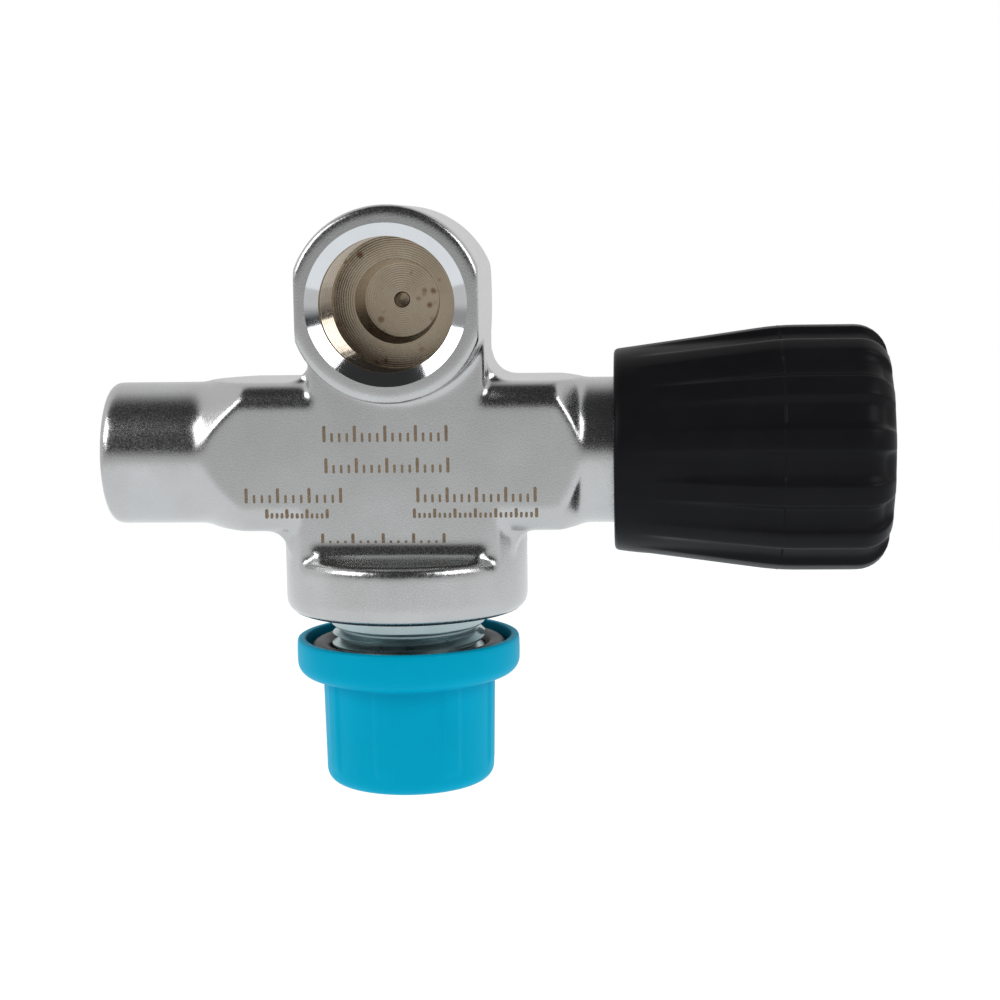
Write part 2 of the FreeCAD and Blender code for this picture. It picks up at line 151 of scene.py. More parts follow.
def rod(start, end, radius, centre, along):
    """A plain cylinder between two distances along its axis, in mm."""
    return turned("rod", [(start, 0), (start, radius), (end, radius), (end, 0)], centre, along)


def modified(piece, kind, **settings):
    """Gives a piece one modifier with its settings and applies it."""
    select_only(piece)
    modifier = piece.modifiers.new(kind.lower(), kind)
    for name, value in settings.items():
        setattr(modifier, name, value)
    bpy.ops.object.modifier_apply(modifier=modifier.name)


def cut(piece, tool):
    """Cuts a piece with a tool, which is then gone; the cut faces take the tool's finish."""
    modified(
        piece, "BOOLEAN", operation="DIFFERENCE", solver="EXACT", object=tool, material_mode="TRANSFER"
    )
    bpy.data.objects.remove(tool)


def thread_section(start, flank, root, crest_radius, root_radius):
    """A V groove's section, as distances along the axis and radii, in mm."""
    return [
        (start, crest_radius),
        (start + flank, root_radius),
        (start + flank + root, root_radius),
        (start + 2 * flank + root, crest_radius),
    ]


def thread_tool(name, section, pitch, turns, centre, axis_name):
    """A helical tool that cuts a thread's groove; its section comes from thread_section."""
    along = {"X": across, "Y": inwards, "Z": up}[axis_name]
    out = across if axis_name == "Z" else up
    places = [(along * distance + out * radius) * millimetre for distance, radius in section]
    bpy.ops.object.select_all(action="DESELECT")
    bpy.ops.mesh.primitive_plane_add(size=millimetre)
    tool = bpy.context.object
    tool.name = name
    bpy.ops.object.mode_set(mode="EDIT")
    bpy.ops.mesh.merge(type="CENTER")
    bpy.ops.transform.translate(value=places[0])
    for before, place in zip(places, places[1:] + places[:1]):
        bpy.ops.mesh.extrude_region_move(TRANSFORM_OT_translate={"value": place - before})
    bpy.ops.mesh.select_all(action="SELECT")
    bpy.ops.mesh.remove_doubles(threshold=0.001 * millimetre)
    bpy.ops.object.mode_set(mode="OBJECT")
    modified(
        tool, "SCREW", axis=axis_name, angle=2 * math.pi * turns, screw_offset=pitch * turns * millimetre,
        steps=int(steps_per_turn * turns), render_steps=int(steps_per_turn * turns),
        use_merge_vertices=False,
    )
    bpy.ops.object.mode_set(mode="EDIT")
    bpy.ops.mesh.select_all(action="DESELECT")
    bpy.ops.mesh.select_non_manifold()
    bpy.ops.mesh.fill_holes(sides=0)
    bpy.ops.mesh.select_all(action="SELECT")
    bpy.ops.mesh.normals_make_consistent(inside=False)
    bpy.ops.object.mode_set(mode="OBJECT")
    tool.location = centre
    bpy.ops.object.transform_apply()
    return tool


def linear(colour):
    """A colour written as sRGB hex, as the linear values that shaders take."""
    channels = []
    for place in (1, 3, 5):
        value = int(colour[place:place + 2], 16) / 255
        channels.append(value / 12.92 if value <= 0.04045 else ((value + 0.055) / 1.055) ** 2.4)
    return (*channels, 1.0)


def new_material(name, **sockets):
    """A material with its shader, whose constants are set on the shader's own sockets."""
    material = bpy.data.materials.new(name)
    material.use_nodes = True
    shader = material.node_tree.nodes["Principled BSDF"]
    for socket, value in sockets.items():
        shader.inputs[socket.replace("_", " ")].default_value = value
    return material, material.node_tree, shader


def add_node(tree, kind, inputs=None, **settings):
    """Adds one shader node with its settings; inputs are values or the sockets that feed them."""
    node = tree.nodes.new(kind)
    for name, value in settings.items():
        setattr(node, name, value)
    for name, value in (inputs or {}).items():
        if isinstance(value, bpy.types.NodeSocket):
            tree.links.new(value, node.inputs[name])
        else:
            node.inputs[name].default_value = value
    return node


def chrome_on_blasted_brass():
    """Satin chrome over a blasted forging: a grey mirror broken up by fine pits that sparkle."""
    grit = 0.28 * millimetre      # blasting grit is nearer 0.15 mm; drawn coarser so that it shows
    pit_depth = 0.011 * millimetre
    cloud = 9 * millimetre
    material, tree, shader = new_material("satin_chrome_on_blasted_brass", Metallic=1.0)
    place = add_node(tree, "ShaderNodeTexCoord")
    pits = add_node(
        tree, "ShaderNodeTexNoise",
        {"Vector": place.outputs["Object"], "Scale": 1 / grit, "Detail": 2.0, "Roughness": 0.6},
    )
    clouds = add_node(
        tree, "ShaderNodeTexNoise",
        {"Vector": place.outputs["Object"], "Scale": 1 / cloud, "Detail": 3.0, "Roughness": 0.55},
    )
    tint = add_node(tree, "ShaderNodeMix", {"Factor": clouds.outputs["Fac"]}, data_type="RGBA")
    tint.inputs["A"].default_value = linear("#ACACAA")
    tint.inputs["B"].default_value = linear("#C0C1C2")
    tree.links.new(tint.outputs["Result"], shader.inputs["Base Color"])
    gloss = add_node(
        tree, "ShaderNodeMapRange",
        {"Value": pits.outputs["Fac"], "From Min": 0.3, "From Max": 0.7, "To Min": 0.17, "To Max": 0.32},
    )
    tree.links.new(gloss.outputs["Result"], shader.inputs["Roughness"])
    relief = add_node(
        tree, "ShaderNodeBump",
        {"Height": pits.outputs["Fac"], "Distance": pit_depth, "Strength": 1.0},
    )
    tree.links.new(relief.outputs["Normal"], shader.inputs["Normal"])
    return material


def turned_metal(name, light, dark, roughness, ring_pitch, ring_depth, centre, direction):
    """Lathe-cut metal: rings left by the tool, which draw the highlights out around the axis."""
    material, tree, shader = new_material(name, Metallic=1.0)
    place = add_node(tree, "ShaderNodeTexCoord")
    centred = add_node(tree, "ShaderNodeMapping", {"Vector": place.outputs["Object"], "Location": -centre})
    rings = add_node(
        tree, "ShaderNodeTexWave",
        {"Vector": centred.outputs["Vector"], "Scale": 2 * math.pi / 20 / ring_pitch,
         "Distortion": 1.2, "Detail": 2.0, "Detail Scale": 0.4},
        wave_type="RINGS", rings_direction=direction,
    )
    patches = add_node(
        tree, "ShaderNodeTexNoise",
        {"Vector": place.outputs["Object"], "Scale": 1 / (4 * millimetre), "Detail": 5.0, "Roughness": 0.65},
    )
    tint = add_node(tree, "ShaderNodeMix", {"Factor": patches.outputs["Fac"]}, data_type="RGBA")
    tint.inputs["A"].default_value = linear(dark)
    tint.inputs["B"].default_value = linear(light)
    tree.links.new(tint.outputs["Result"], shader.inputs["Base Color"])
    gloss = add_node(
        tree, "ShaderNodeMapRange",
        {"Value": patches.outputs["Fac"], "From Min": 0.3, "From Max": 0.7,
         "To Min": roughness * 0.8, "To Max": roughness * 1.25},
    )
    tree.links.new(gloss.outputs["Result"], shader.inputs["Roughness"])
    relief = add_node(
        tree, "ShaderNodeBump",
        {"Height": rings.outputs["Fac"], "Distance": ring_depth, "Strength": 1.0},
    )
    tree.links.new(relief.outputs["Normal"], shader.inputs["Normal"])
    return material


def spotted(material, stain, spacing, size):
    """Scatters small round stains over a finish, in some areas and not in others."""
    tree = material.node_tree
    shader = tree.nodes["Principled BSDF"]
    plain = shader.inputs["Base Color"].links[0].from_socket
    place = add_node(tree, "ShaderNodeTexCoord")
    cells = add_node(
        tree, "ShaderNodeTexVoronoi", {"Vector": place.outputs["Object"], "Scale": 1 / spacing}
    )
    spots = add_node(
        tree, "ShaderNodeMapRange",
        {"Value": cells.outputs["Distance"], "From Min": 0.4 * size / spacing,
         "From Max": 0.8 * size / spacing, "To Min": 1.0, "To Max": 0.0},
    )
    areas = add_node(
        tree, "ShaderNodeTexNoise",
        {"Vector": place.outputs["Object"], "Scale": 0.4 / spacing, "Detail": 1.0},
    )
    stained_areas = add_node(
        tree, "ShaderNodeMapRange",
        {"Value": areas.outputs["Fac"], "From Min": 0.54, "From Max": 0.6, "To Min": 0.0, "To Max": 0.75},
    )
    amount = add_node(
        tree, "ShaderNodeMath",
        {0: spots.outputs["Result"], 1: stained_areas.outputs["Result"]}, operation="MULTIPLY",
    )
    mixed = add_node(tree, "ShaderNodeMix", {"Factor": amount.outputs["Value"]}, data_type="RGBA")
    tree.links.new(plain, mixed.inputs["A"])
    mixed.inputs["B"].default_value = linear(stain)
    tree.links.new(mixed.outputs["Result"], shader.inputs["Base Color"])


satin_chrome = chrome_on_blasted_brass()
# Plating that reaches only the mouth of the bore, over a turned chamfer, stays mirror bright.
bright_chrome = turned_metal(
    "bright_chrome_on_turned_brass", "#D2D4D6", "#C6C8CB", 0.09,
    0.25 * millimetre, 0.0008 * millimetre, outlet_centre, "Y",
)
# Nickel flash inside the bore has dulled to a brownish grey, with every tool ring showing.
bore_nickel = turned_metal(
    "dulled_nickel_on_turned_brass", "#D2C5B1", "#8F7F68", 0.24,
    0.36 * millimetre, 0.006 * millimetre, outlet_centre, "Y",
)
# A few rust-brown spots, the size of a pinhead, are scattered over it.
spotted(bore_nickel, "#6B4426", 2.4 * millimetre, 0.9 * millimetre)
# The thread's flanks are cleaner and smoother than the bore behind them.
thread_nickel = turned_metal(
    "thin_nickel_on_tapped_brass", "#BDB3A6", "#93887A", 0.15,
    0.3 * millimetre, 0.001 * millimetre, outlet_centre, "Y",
)
port_nickel = turned_metal(
    "dulled_nickel_in_side_ports", "#B6AA9B", "#8F8272", 0.33,
    0.42 * millimetre, 0.006 * millimetre, branch_centre, "X",
)

bpy.ops.object.select_all(action="DESELECT")
body_forging = bpy.data.objects.new("body_forging", frame["nodes"]["valve_body"].data.copy())
bpy.context.collection.objects.link(body_forging)
select_only(body_forging)
bpy.ops.object.mode_set(mode="EDIT")
bpy.ops.mesh.select_all(action="SELECT")
bpy.ops.mesh.remove_doubles(threshold=0.001 * millimetre)
bpy.ops.mesh.select_all(action="SELECT")
bpy.ops.mesh.bisect(plane_co=neck_centre, plane_no=up, use_fill=True, clear_inner=True)
bpy.ops.object.mode_set(mode="OBJECT")
# Rods fill the ports, so that the forging is rounded off as a solid blank.
fillings = [
    rod(outlet_front, 1, 12.6, outlet_centre, inwards),
    rod(left_end, 0, 9.5, branch_centre, across),
    rod(0, right_end, 9.8, branch_centre, across),
    rod(0, 20, 4, neck_centre, up),
]
select_only(body_forging)
for filling in fillings:
    filling.select_set(True)
bpy.ops.object.join()
body_forging.data.materials.clear()
body_forging.data.materials.append(satin_chrome)
modified(
    body_forging, "REMESH", mode="VOXEL", voxel_size=forging_voxel, adaptivity=0.0, use_smooth_shade=True
)
modified(body_forging, "SMOOTH", factor=0.5, iterations=forging_softness)
bpy.ops.object.mode_set(mode="EDIT")
bpy.ops.mesh.select_all(action="SELECT")
bpy.ops.mesh.bisect(plane_co=up * seat_facing * millimetre, plane_no=up, use_fill=True, clear_inner=True)
bpy.ops.object.mode_set(mode="OBJECT")

outlet_chamfer = turned(
    "outlet_chamfer",
    [
        (outlet_front - chamfer_depth, 0),
        (outlet_front - chamfer_depth, 2 * chamfer_radius - outlet_thread_radius),
        (outlet_front + chamfer_depth, outlet_thread_radius),
        (outlet_front + chamfer_depth, 0),
    ],
    outlet_centre, inwards, 128,
)
outlet_chamfer.data.materials.append(bright_chrome)
cut(body_forging, outlet_chamfer)
outlet_bore = turned(
    "outlet_bore",
    [
        (outlet_front + chamfer_depth - 0.1, 0),
        (outlet_front + chamfer_depth - 0.1, outlet_thread_radius),
        (outlet_thread_end, outlet_thread_radius),
        (outlet_thread_end, recess_mouth_radius),
        (recess_end, recess_floor_radius),
        (recess_end, gas_hole_radius + 0.15),
        (recess_end + 0.15, gas_hole_radius),
        (recess_end + gas_hole_depth, gas_hole_radius),
        (recess_end + gas_hole_depth, 0),
    ],
    outlet_centre, inwards, 128,
)
outlet_bore.data.materials.append(bore_nickel)
cut(body_forging, outlet_bore)
outlet_groove = thread_tool(
    "outlet_groove",
    thread_section(
        outlet_groove_start, thread_flank, thread_root, outlet_thread_radius - 0.2, outlet_major_radius
    ),
    outlet_pitch, outlet_turns, outlet_centre, "Y",
)
outlet_groove.data.materials.append(thread_nickel)
cut(body_forging, outlet_groove)
plug_bore = 8.25
bonnet_bore = 9.0
bonnet_seat = 27.0
spindle_bore = 7.0
chamber_bore = 7.9
nozzle_face = 5.0
port_stations = {
    "side_port": [
        (left_end - 1, 0),
        (left_end - 1, plug_bore + 1.9),
        (left_end + 0.9, plug_bore),
        (left_end + 17, plug_bore),
        (left_end + 17, 0),
    ],
    "gland_port": [
        (bonnet_seat, 0),
        (bonnet_seat, bonnet_bore),
        (right_end - 1, bonnet_bore),
        (right_end + 1, bonnet_bore + 2),
        (right_end + 1, 0),
    ],
    "spindle_port": [
        (nozzle_face - 1, 0),
        (nozzle_face - 1, 2.9),
        (nozzle_face, 2.4),
        (nozzle_face, chamber_bore),
        (nozzle_face + 7, chamber_bore),
        (nozzle_face + 8, spindle_bore),
        (bonnet_seat + 1, spindle_bore),
        (bonnet_seat + 1, 0),
    ],
}
for port, stations in port_stations.items():
    tool = turned(port, stations, branch_centre, across)
    tool.data.materials.append(port_nickel)
    cut(body_forging, tool)
select_only(body_forging)
bpy.ops.object.shade_smooth_by_angle(angle=crisp_edge)
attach(body_forging, "valve")
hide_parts("valve_body")

# ---- neck spigot -----------------------------------------------------------------
# The forging's lower end is turned in one setting: the collar's underside, a plain shank,
# a run-out groove and an M25x2 thread.  Plated bright, its colours are tinted blue-green
# as a painted reflection of the cap round it.
neck_radius = 12.5
neck_root_radius = 11.27
neck_pitch = 2.0
neck_turns = 12.0
shank_end = -2.6
groove_end = -3.9
collar_foot_radius = 17.46    # flat part of the underside, inside the collar's rounding
collar_foot_rounding = 2.2
# Base colours tinted blue-green: a painted reflection of the cap, kept even with the cap off.
neck_chrome_with_painted_reflection = turned_metal(
    "bright_chrome_on_turned_neck_painted_cap_reflection", "#BCCBCD", "#A0B0B2", 0.3,
    0.4 * millimetre, 0.004 * millimetre, neck_centre, "Z",
)
underside = []
for height in (seat_facing, 0.16, 0.09, 0.04, 0.01, 0.0):
    reach = math.sqrt(collar_foot_rounding ** 2 - (collar_foot_rounding - height) ** 2)
    underside.append((height, collar_foot_radius + reach))
neck_spigot = turned(
    "neck_spigot",
    [
        (1.0, 4.0),
        (1.0, neck_radius),
        (seat_facing, neck_radius),
        *underside,
        (0.0, neck_radius),
        (shank_end + 0.3, neck_radius),
        (shank_end, neck_radius - 0.3),
        (shank_end - 0.4, neck_root_radius - 0.2),
        (groove_end + 0.6, neck_root_radius - 0.2),
        (groove_end + 0.1, neck_radius - 0.25),
        (groove_end - 0.15, neck_radius),
        (neck_end + 1.3, neck_radius),
        (neck_end, neck_root_radius),
        (neck_end, 5.0),
        (neck_end + 0.9, 4.0),
        (1.0, 4.0),
    ],
    neck_centre, up, 128,
)
neck_groove = thread_tool(
    "neck_groove",
    thread_section(
        neck_end - neck_pitch, flank=0.82, root=0.2,
        crest_radius=neck_radius + 0.1, root_radius=neck_root_radius,
    ),
    neck_pitch, neck_turns, neck_centre, "Z",
)
neck_spigot.data.materials.append(neck_chrome_with_painted_reflection)
neck_groove.data.materials.append(neck_chrome_with_painted_reflection)
cut(neck_spigot, neck_groove)
select_only(neck_spigot)
bpy.ops.object.shade_smooth_by_angle(angle=crisp_edge)
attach(neck_spigot, "valve")

# ---- laser marks -----------------------------------------------------------------
# Rows of short strokes and dots burnt into the flat front of the block by a laser, which
# leaves a thin brown oxide.  They carry no words.
block_front = -12.0
mark_skin = 0.02
mark_stroke = 0.5
stroke_rounding = 0.42        # of a stroke's width
short_stroke = 0.55           # of a post's length
mark_rows = (                 # height above the branch, start, groups, spacing and stroke length
    (4.0, -11.4, 4, 1.2, 2.6),
    (-1.0, -11.2, 4, 1.2, 2.4),
    (-5.7, -24.0, 3, 1.25, 2.4),
    (-5.7, 3.2, 4, 1.15, 2.4),
    (-8.6, -20.8, 3, 0.8, 1.5),
    (-8.6, 2.6, 6, 0.8, 1.5),
    (-13.0, -12.0, 4, 1.2, 2.5),
)


def laser_oxide():
    """Oxide left by a marking laser: matt brown, darker where the beam overlapped."""
    material, tree, shader = new_material(
        "laser_oxide_on_chrome", Metallic=0.35, Roughness=0.6
    )
    place = add_node(tree, "ShaderNodeTexCoord")
    passes = add_node(
        tree, "ShaderNodeTexNoise",
        {"Vector": place.outputs["Object"], "Scale": 1 / (0.5 * millimetre), "Detail": 3.0},
    )
    tint = add_node(tree, "ShaderNodeMix", {"Factor": passes.outputs["Fac"]}, data_type="RGBA")
    tint.inputs["A"].default_value = linear("#5E4C39")
    tint.inputs["B"].default_value = linear("#9A8770")
    tree.links.new(tint.outputs["Result"], shader.inputs["Base Color"])
    relief = add_node(
        tree, "ShaderNodeBump",
        {"Height": passes.outputs["Fac"], "Distance": 0.01 * millimetre, "Strength": 1.0},
    )
    tree.links.new(relief.outputs["Normal"], shader.inputs["Normal"])
    return material


def laser_stroke(x, height_above_branch, width, length):
    """One round-ended stroke, a skin's thickness proud of the block's front."""
    bpy.ops.object.select_all(action="DESELECT")
    middle = branch_centre + Vector((x, block_front - mark_skin, height_above_branch)) * millimetre
    bpy.ops.mesh.primitive_plane_add(size=millimetre, location=middle, rotation=(math.pi / 2, 0, 0))
    stroke = bpy.context.object
    bpy.ops.object.mode_set(mode="EDIT")
    bpy.ops.transform.resize(value=(width, 1, length), center_override=middle)
    rounding = min(width, length) * stroke_rounding * millimetre
    bpy.ops.mesh.bevel(affect="VERTICES", offset=rounding, segments=4, offset_type="OFFSET")
    bpy.ops.mesh.extrude_region_move(
        TRANSFORM_OT_translate={"value": Vector((0, 3 * mark_skin, 0)) * millimetre}
    )
    bpy.ops.mesh.select_all(action="SELECT")
    bpy.ops.mesh.normals_make_consistent(inside=False)
    bpy.ops.object.mode_set(mode="OBJECT")
    bpy.ops.object.transform_apply()
    return stroke


strokes = []
for row_height, row_start, groups, spacing, tall in mark_rows:
    short = tall * short_stroke
    post = laser_stroke(row_start, row_height, mark_stroke, tall)
    ticks = laser_stroke(row_start + spacing, row_height - (tall - short) / 2, mark_stroke * 0.8, short)
    step = Vector((spacing * millimetre, 0, 0))
    repeated = {"use_relative_offset": False, "use_constant_offset": True}
    modified(ticks, "ARRAY", count=3, constant_offset_displace=step, **repeated)
    modified(ticks, "ARRAY", count=groups, constant_offset_displace=4 * step, **repeated)
    modified(post, "ARRAY", count=groups + 1, constant_offset_displace=4 * step, **repeated)
    strokes += [post, ticks]
select_only(strokes[0])
for stroke in strokes:
    stroke.select_set(True)
bpy.ops.object.join()
laser_marks = bpy.context.object
laser_marks.name = "laser_marks"
laser_marks.data.materials.append(laser_oxide())
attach(laser_marks, "valve")

# ---- side port plug and nuts -----------------------------------------------------
# A blanking plug turned from nickelled brass bar, with a broached hexagon, screwed on an
# O-ring into the free branch.  The gland nut, the handwheel's nut and the seat carrier
# have the same finish.
plug_nickel = turned_metal(
    "nickel_on_turned_plug", "#C4BDB0", "#A89F90", 0.24,
    0.35 * millimetre, 0.003 * millimetre, branch_centre, "X",
)


def finish_nodes(material, *names):
    """Gives the CAD pieces of these names one finish."""
    for name in names:
        piece = frame["nodes"][name]
        piece.data.materials.clear()
        piece.data.materials.append(material)


finish_nodes(plug_nickel, "side_port_plug", "gland_nut", "knob_nut", "seat_carrier")

# ---- seals -----------------------------------------------------------------------
# Moulded nitrile O-rings at the neck, the plug, the gland nut and the stem: black, slightly
# greasy, with a fine bloom on the surface.


def speckled_polymer(name, base, fleck, roughness, grain, grain_depth, ior, shine=0.5):
    """Moulded or turned polymer: one colour, clouded a little, with the mould's fine grain."""
    material, tree, shader = new_material(name, IOR=ior, Specular_IOR_Level=shine)
    place = add_node(tree, "ShaderNodeTexCoord")
    texture = add_node(
        tree, "ShaderNodeTexNoise",
        {"Vector": place.outputs["Object"], "Scale": 1 / grain, "Detail": 3.0, "Roughness": 0.6},
    )
    clouds = add_node(
        tree, "ShaderNodeTexNoise",
        {"Vector": place.outputs["Object"], "Scale": 1 / (8 * millimetre), "Detail": 4.0, "Roughness": 0.6},
    )
    tint = add_node(tree, "ShaderNodeMix", {"Factor": clouds.outputs["Fac"]}, data_type="RGBA")
    tint.inputs["A"].default_value = linear(base)
    tint.inputs["B"].default_value = linear(fleck)
    tree.links.new(tint.outputs["Result"], shader.inputs["Base Color"])
    gloss = add_node(
        tree, "ShaderNodeMapRange",
        {"Value": clouds.outputs["Fac"], "From Min": 0.3, "From Max": 0.7,
         "To Min": roughness * 0.88, "To Max": roughness * 1.15},
    )
    tree.links.new(gloss.outputs["Result"], shader.inputs["Roughness"])
    relief = add_node(
        tree, "ShaderNodeBump",
        {"Height": texture.outputs["Fac"], "Distance": grain_depth, "Strength": 1.0},
    )
    tree.links.new(relief.outputs["Normal"], shader.inputs["Normal"])
    return material


nitrile = speckled_polymer(
    "moulded_nitrile", "#121212", "#1B1A19", 0.42, 0.2 * millimetre, 0.004 * millimetre, 1.52
)
finish_nodes(
    nitrile, "neck_o_ring", "side_port_o_ring", "gland_o_ring", "stem_inner_o_ring", "stem_outer_o_ring"
)

# ---- spindle ---------------------------------------------------------------------
# The stem is turned and milled from plain brass; it runs between low-friction washers and
# screws the soft seat in and out.
spindle_brass = turned_metal(
    "bare_turned_brass", "#C9A663", "#A98446", 0.26,
    0.35 * millimetre, 0.003 * millimetre, branch_centre, "X",
)
washer_ptfe = speckled_polymer(
    "skived_ptfe", "#E6E4DD", "#D8D5CB", 0.4, 0.3 * millimetre, 0.004 * millimetre, 1.35
)
seat_nylon = speckled_polymer(
    "turned_seat_nylon", "#DAD4C2", "#CBC4B0", 0.38, 0.3 * millimetre, 0.004 * millimetre, 1.53
)
spring_steel = turned_metal(
    "drawn_stainless_spring_wire", "#C2C3C4", "#A6A7A8", 0.28,
    0.3 * millimetre, 0.003 * millimetre, branch_centre, "X",
)
finish_nodes(spindle_brass, "stem")
finish_nodes(washer_ptfe, "thrust_washer", "slip_washer")
finish_nodes(seat_nylon, "seat_pad")
finish_nodes(spring_steel, "knob_spring", "spring_washer")

# ---- handwheel centre ------------------------------------------------------------
# A stiff black nylon moulding that the rubber grip is moulded on.  Its square hole fits the
# stem, so the handwheel turns it.
centre_nylon = speckled_polymer(
    "moulded_glass_filled_nylon", "#17181A", "#202124", 0.5, 0.25 * millimetre, 0.006 * millimetre, 1.53
)
finish_nodes(centre_nylon, "knob_centre")

# ---- handwheel grip ----------------------------------------------------------------
# Soft black rubber moulded over the nylon centre, with fourteen ribs that fade into the
# taper at the valve's side and run over the rounded end.
grip_low, grip_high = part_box("knob_grip")
grip_start = grip_low.x / millimetre
grip_end = grip_high.x / millimetre
grip_radius = (grip_high.z - branch_height) / millimetre
grip_start_radius = 16.14
grip_crest = grip_end - 17.3
grip_ease = 3.0               # half the length over which the taper eases into the barrel
grip_rounding = 5.2
grip_recess_radius = 9.0
grip_pocket_radius = 12.6
grip_wall_radius = 14.6       # where the rubber lies on the nylon
rib_count = 14
rib_columns = 16
rib_turn = 2                  # columns from straight up to the first rib
flute_depth = 1.15
flute_section = (0.0, 0.0, 0.0, 0.04, 0.55, 0.84, 0.95, 0.99, 1.0)
rib_edge_column = 3
mould_line = 0.06             # flash where the mould's halves met
flute_fade_start = grip_start + 3.0
flute_full = grip_crest - 3.0
rib_crease_start = flute_fade_start + 4.0


def grip_outline(x):
    """Radius over the ribs: a cone that eases into a cylinder."""
    slope = (grip_radius - grip_start_radius) / (grip_crest - grip_start)
    if x < grip_crest - grip_ease:
        return grip_start_radius + slope * (x - grip_start)
    if x < grip_crest + grip_ease:
        return grip_radius - slope * (grip_crest + grip_ease - x) ** 2 / (4 * grip_ease)
    return grip_radius


def grip_stations():
    """The grip's outline, from its pocket round the outside to the recess and back."""
    barrel_end = grip_end - grip_rounding
    stations = [
        (grip_start + 2.6, grip_wall_radius),
        (grip_start + 2.2, grip_wall_radius),
        (grip_start + 2.2, grip_wall_radius - 0.4),
        (grip_start + 2.2, grip_pocket_radius + 0.3),
        (grip_start + 2.0, grip_pocket_radius),
        (grip_start + 0.3, grip_pocket_radius),
        (grip_start, grip_pocket_radius + 0.3),
        (grip_start, grip_start_radius - 0.7),
        (grip_start + 0.15, grip_start_radius - 0.2),
    ]
    steps = 24
    wall = []
    for step in range(steps + 1):
        x = grip_start + 0.6 + (barrel_end - grip_start - 0.6) * step / steps
        wall.append((x, grip_outline(x)))
    for offset, proud in ((-0.15, 0), (0, mould_line), (0.15, 0)):
        wall.append((grip_crest + offset, grip_outline(grip_crest + offset) + proud))
    stations += sorted(wall)
    for step in range(1, 9):
        turn = math.pi / 2 * step / 8
        stations.append((
            barrel_end + grip_rounding * math.sin(turn),
            grip_radius - grip_rounding + grip_rounding * math.cos(turn),
        ))
    stations += [
        (grip_end, 12.0),
        (grip_end, grip_recess_radius + 0.5),
        (grip_end - 0.5, grip_recess_radius),
        (grip_end - 3.9, grip_recess_radius),
        (grip_end - 4.2, grip_recess_radius + 0.3),
        (grip_end - 4.2, grip_wall_radius - 0.4),
        (grip_end - 4.2, grip_wall_radius),
        (grip_end - 4.6, grip_wall_radius),
    ]
    return stations + stations[:1]


def rib_offset(from_axis):
    """How many columns a point lies to either side of the nearest rib's crest."""
    turn = math.atan2(-from_axis.y, from_axis.z) / (2 * math.pi)
    column = (round(turn * rib_count * rib_columns) - rib_turn) % rib_columns
    return min(column, rib_columns - column)


def flute_weight(spot):
    """How deep the flute is at one point, from 0 on a rib to 1 on a flute's floor."""
    from_axis = (spot - branch_centre) / millimetre
    radius = math.hypot(from_axis.y, from_axis.z)
    section = flute_section[rib_offset(from_axis)]
    along_grip = (from_axis.x - flute_fade_start) / (flute_full - flute_fade_start)
    over_end = (radius - grip_wall_radius) / (grip_rounding * 0.5)
    return section * min(max(along_grip, 0), 1) * min(max(over_end, 0), 1)


def raised_or_sunk(piece, weight, height):
    """Moves a piece's surface along its normals, by a height times each point's weight."""
    group = piece.vertex_groups.new(name="relief")
    for vertex in piece.data.vertices:
        group.add([vertex.index], weight(vertex.co), "REPLACE")
    modified(piece, "DISPLACE", strength=height * millimetre, mid_level=0.0, vertex_group="relief")
    piece.vertex_groups.clear()


def on_rib_edge(spot):
    """Whether a point lies on the side of a rib, where the rib has its full height."""
    from_axis = (spot - branch_centre) / millimetre
    outside = math.hypot(from_axis.y, from_axis.z) > grip_wall_radius
    return outside and from_axis.x > rib_crease_start and rib_offset(from_axis) == rib_edge_column


def crease_rib_edges(piece):
    """Tightens the edges that run along both sides of every rib, so that they stay narrow."""
    select_only(piece)
    for edge in piece.data.edges:
        ends = [piece.data.vertices[index].co for index in edge.vertices]
        edge.select = all(on_rib_edge(end) for end in ends)
    bpy.ops.object.mode_set(mode="EDIT")
    bpy.ops.mesh.select_mode(type="EDGE")
    bpy.ops.transform.edge_crease(value=0.75)
    bpy.ops.mesh.select_mode(type="VERT")
    bpy.ops.object.mode_set(mode="OBJECT")


grip = turned("handwheel_grip", grip_stations(), branch_centre, across, rib_count * rib_columns)
raised_or_sunk(grip, flute_weight, -flute_depth)
crease_rib_edges(grip)
modified(grip, "SUBSURF", levels=1, render_levels=1)
select_only(grip)
bpy.ops.object.shade_smooth()
grip_rubber = speckled_polymer(
    "moulded_grip_rubber", "#131315", "#1B1B1D", 0.36, 0.5 * millimetre, 0.014 * millimetre, 1.52, 0.05
)
grip.data.materials.append(grip_rubber)
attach(grip, "handwheel")
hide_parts("knob_grip")

# ---- thread cap ----------------------------------------------------------------------
# A turquoise polyethylene cap, injection moulded, that guards the neck thread and keeps
# the neck O-ring: a flared rim, a slightly tapered cup and eight shallow grip pads.
cap_low, cap_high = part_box("thread_cap")
cap_top = cap_high.z / millimetre
cap_bottom = cap_low.z / millimetre
cap_rim_radius = cap_high.x / millimetre
cap_rim_foot = cap_top - 6.2
cap_rim_bore = 16.74
cap_rim_rounding = 2.4
cap_body_radius = 14.04
cap_foot_radius = 13.76
cap_foot_rounding = 2.2
cap_counterbore = -8.8
cap_floor = -27.0
cap_bore_radius = neck_radius + 0.08
cap_thread_turns = 8.0
cap_crisp_edge = math.radians(40)
pad_count = 8
pad_columns = 24
pad_turn = 18                 # columns from straight out along the handwheel to the first pad
pad_height = 0.28
pad_section = (1.0, 1.0, 1.0, 0.92, 0.12)
pad_bottom = cap_bottom + 3.2


def rounded_corner(corner, radius, steps):
    """Stations round a convex outer corner of the cap, from its side down to its underside."""
    stations = []
    for step in range(steps + 1):
        turn = math.pi / 2 * step / steps
        stations.append((
            corner[0] + radius - radius * math.sin(turn),
            corner[1] - radius + radius * math.cos(turn),
        ))
    return stations


